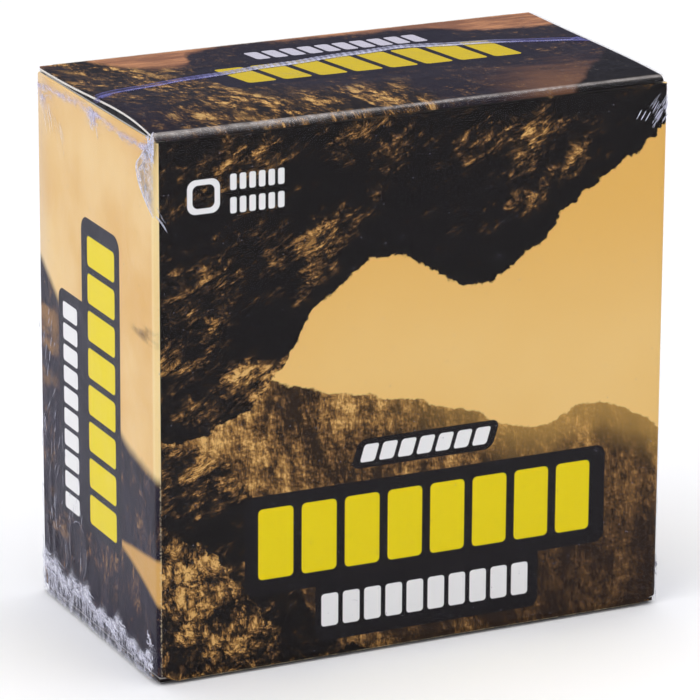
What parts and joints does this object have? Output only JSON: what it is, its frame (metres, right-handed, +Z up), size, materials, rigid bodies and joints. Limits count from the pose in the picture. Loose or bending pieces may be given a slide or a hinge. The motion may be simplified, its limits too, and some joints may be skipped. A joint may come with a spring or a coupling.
{
  "type": "gymnastics chalk block",
  "caption": "Pressed gymnastics chalk block in a printed tuck-end paperboard carton with folding lids, tuck flaps and dust flaps, sealed in clear shrink film.",
  "frame": {"origin": "centre of the footprint, on the surface that the carton stands on", "axes": "+Z up, -Y towards the carton's front panel, +X to the right when looking at the front"},
  "size_m": [0.0552, 0.0302, 0.0558],
  "materials": {
    "printed_board": "satin",
    "film": "gloss",
    "glue": "satin",
    "chalk": "matte"
  },
  "bodies": {
    "carton": {"front_panel": "printed_board", "back_panel": "printed_board", "left_side_panel": "printed_board", "right_side_panel": "printed_board", "glue_flap": "printed_board", "glue_line": "glue", "film_sleeve": "film"},
    "chalk_block": {"chalk_block": "chalk"},
    "top_lid": {"top_lid": "printed_board", "top_film": "film"},
    "top_tuck_flap": {"top_tuck_flap": "printed_board"},
    "top_dust_flap_left": {"top_dust_flap_left": "printed_board"},
    "top_dust_flap_right": {"top_dust_flap_right": "printed_board"},
    "bottom_lid": {"bottom_lid": "printed_board", "bottom_film": "film"},
    "bottom_tuck_flap": {"bottom_tuck_flap": "printed_board"},
    "bottom_dust_flap_left": {"bottom_dust_flap_left": "printed_board"},
    "bottom_dust_flap_right": {"bottom_dust_flap_right": "printed_board"}
  },
  "joints": [
    {"name": "top_lid_hinge", "type": "hinge", "parent": "carton", "child": "top_lid", "pos_m": [0, 0.0148, 0.0549], "axis": [-1, 0, 0], "range_deg": [0, 180]},
    {"name": "top_tuck_fold", "type": "hinge", "parent": "top_lid", "child": "top_tuck_flap", "pos_m": [0, -0.01429, 0.05396], "axis": [-1, 0, 0], "range_deg": [0, 10]},
    {"name": "top_dust_flap_left_fold", "type": "hinge", "parent": "carton", "child": "top_dust_flap_left", "pos_m": [-0.0273, 0, 0.05435], "axis": [0, -1, 0], "range_deg": [0, 90]},
    {"name": "top_dust_flap_right_fold", "type": "hinge", "parent": "carton", "child": "top_dust_flap_right", "pos_m": [0.0273, 0, 0.05435], "axis": [0, 1, 0], "range_deg": [0, 90]},
    {"name": "bottom_lid_hinge", "type": "hinge", "parent": "carton", "child": "bottom_lid", "pos_m": [0, -0.0148, 0.0003], "axis": [-1, 0, 0], "range_deg": [0, 180]},
    {"name": "bottom_tuck_fold", "type": "hinge", "parent": "bottom_lid", "child": "bottom_tuck_flap", "pos_m": [0, 0.01429, 0.00124], "axis": [-1, 0, 0], "range_deg": [0, 10]},
    {"name": "bottom_dust_flap_left_fold", "type": "hinge", "parent": "carton", "child": "bottom_dust_flap_left", "pos_m": [-0.0273, 0, 0.00085], "axis": [0, 1, 0], "range_deg": [0, 90]},
    {"name": "bottom_dust_flap_right_fold", "type": "hinge", "parent": "carton", "child": "bottom_dust_flap_right", "pos_m": [0.0273, 0, 0.00085], "axis": [0, -1, 0], "range_deg": [0, 90]},
    {"name": "block_slide", "type": "slide", "parent": "carton", "child": "chalk_block", "axis": [0, 0, 1], "range_m": [0, 0.0022]}
  ],
  "couplings": [
    {"joint": "top_tuck_fold", "follows": "top_lid_hinge", "ratio": 0.05},
    {"joint": "top_dust_flap_left_fold", "follows": "top_lid_hinge", "ratio": 0.5},
    {"joint": "top_dust_flap_right_fold", "follows": "top_lid_hinge", "ratio": 0.5},
    {"joint": "bottom_tuck_fold", "follows": "bottom_lid_hinge", "ratio": 0.05},
    {"joint": "bottom_dust_flap_left_fold", "follows": "bottom_lid_hinge", "ratio": 0.5},
    {"joint": "bottom_dust_flap_right_fold", "follows": "bottom_lid_hinge", "ratio": 0.5}
  ]
}
